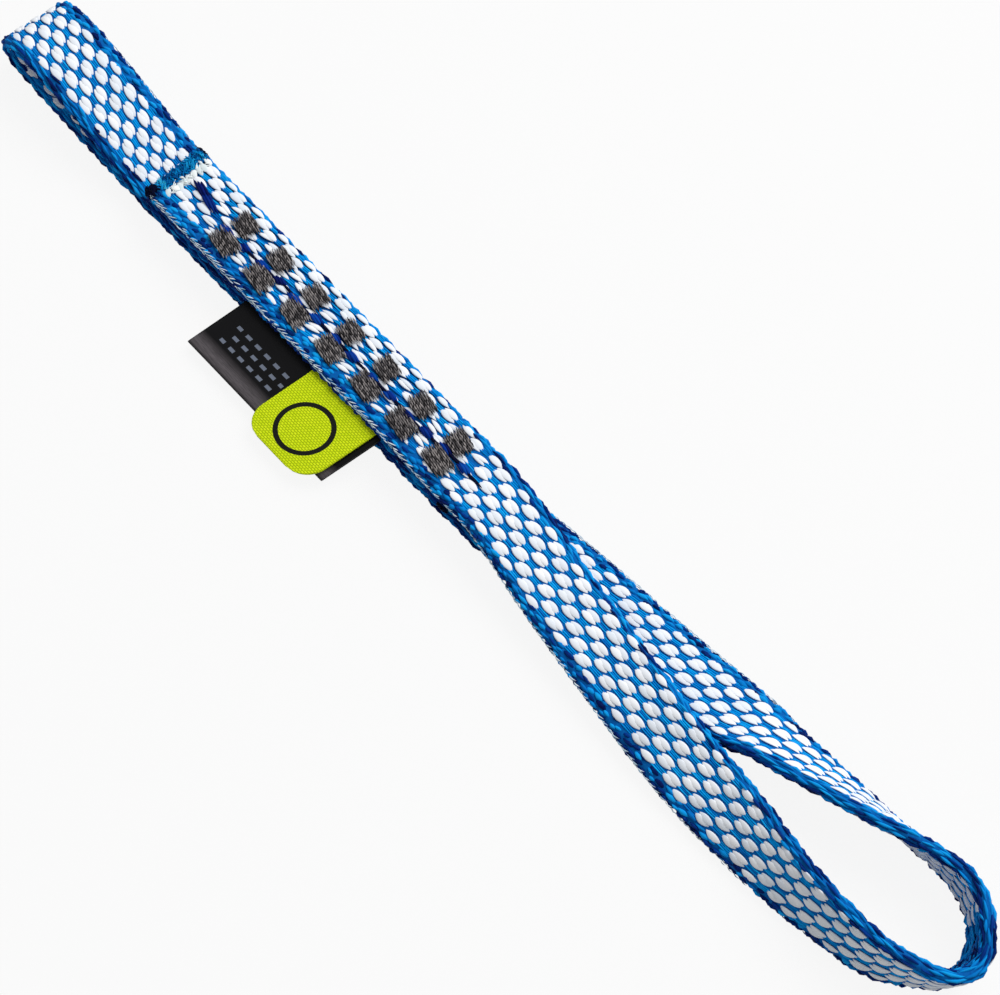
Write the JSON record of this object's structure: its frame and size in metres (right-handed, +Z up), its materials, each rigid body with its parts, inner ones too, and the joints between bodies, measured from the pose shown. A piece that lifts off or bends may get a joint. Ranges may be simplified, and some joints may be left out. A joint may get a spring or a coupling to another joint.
{
  "type": "climbing sling",
  "caption": "Short webbing sling: a small sewn loop at one end, a long open loop with a half twist at the other, bar tacks between them and fabric labels at the side.",
  "frame": {"origin": "middle of the sewn stretch, on the underside of the bottom ply, where the sling lies on a surface", "axes": "+X along the tape towards the large loop, +Y across it away from the labels, +Z up from the surface it lies on"},
  "size_m": [0.1961, 0.0283, 0.011],
  "materials": {
    "woven_tape": "white and blue woven tape, matt",
    "grey_thread": "twisted sewing thread, slight sheen",
    "blue_thread": "twisted sewing thread, slight sheen",
    "black_satin": "satin ribbon, soft sheen",
    "yellow_weave": "plain weave, matt"
  },
  "bodies": {
    "sewn_stretch": {"top_ply": "woven_tape", "middle_ply": "woven_tape", "bottom_ply": "woven_tape", "centre_seam": "blue_thread", "black_label_tail": "black_satin", "yellow_label_tail": "yellow_weave", "bar_tack_upper_1": "grey_thread", "bar_tack_upper_2": "grey_thread", "bar_tack_upper_3": "grey_thread", "bar_tack_upper_4": "grey_thread", "bar_tack_upper_5": "grey_thread", "bar_tack_upper_6": "grey_thread", "bar_tack_upper_7": "grey_thread", "bar_tack_lower_1": "grey_thread", "bar_tack_lower_2": "grey_thread", "bar_tack_lower_3": "grey_thread", "bar_tack_lower_4": "grey_thread", "bar_tack_lower_5": "grey_thread", "bar_tack_lower_6": "grey_thread", "bar_tack_lower_7": "grey_thread"},
    "large_loop": {"large_loop": "woven_tape"},
    "small_loop": {"small_loop": "woven_tape"},
    "black_label": {"black_label": "black_satin"},
    "yellow_label": {"yellow_label": "yellow_weave"}
  },
  "joints": [
    {"name": "large_loop_fold", "type": "hinge", "parent": "sewn_stretch", "child": "large_loop", "pos_m": [0.0353, 0, 0.0036], "axis": [0, -1, 0], "range_deg": [-45, 45]},
    {"name": "small_loop_fold", "type": "hinge", "parent": "sewn_stretch", "child": "small_loop", "pos_m": [-0.0353, 0, 0.00235], "axis": [0, 1, 0], "range_deg": [-45, 45]},
    {"name": "black_label_fold", "type": "hinge", "parent": "sewn_stretch", "child": "black_label", "pos_m": [0, -0.00615, 0.0043], "axis": [-1, 0, 0], "range_deg": [-60, 0]},
    {"name": "yellow_label_fold", "type": "hinge", "parent": "sewn_stretch", "child": "yellow_label", "pos_m": [0, -0.00605, 0.0054], "axis": [-1, 0, 0], "range_deg": [0, 90]}
  ]
}
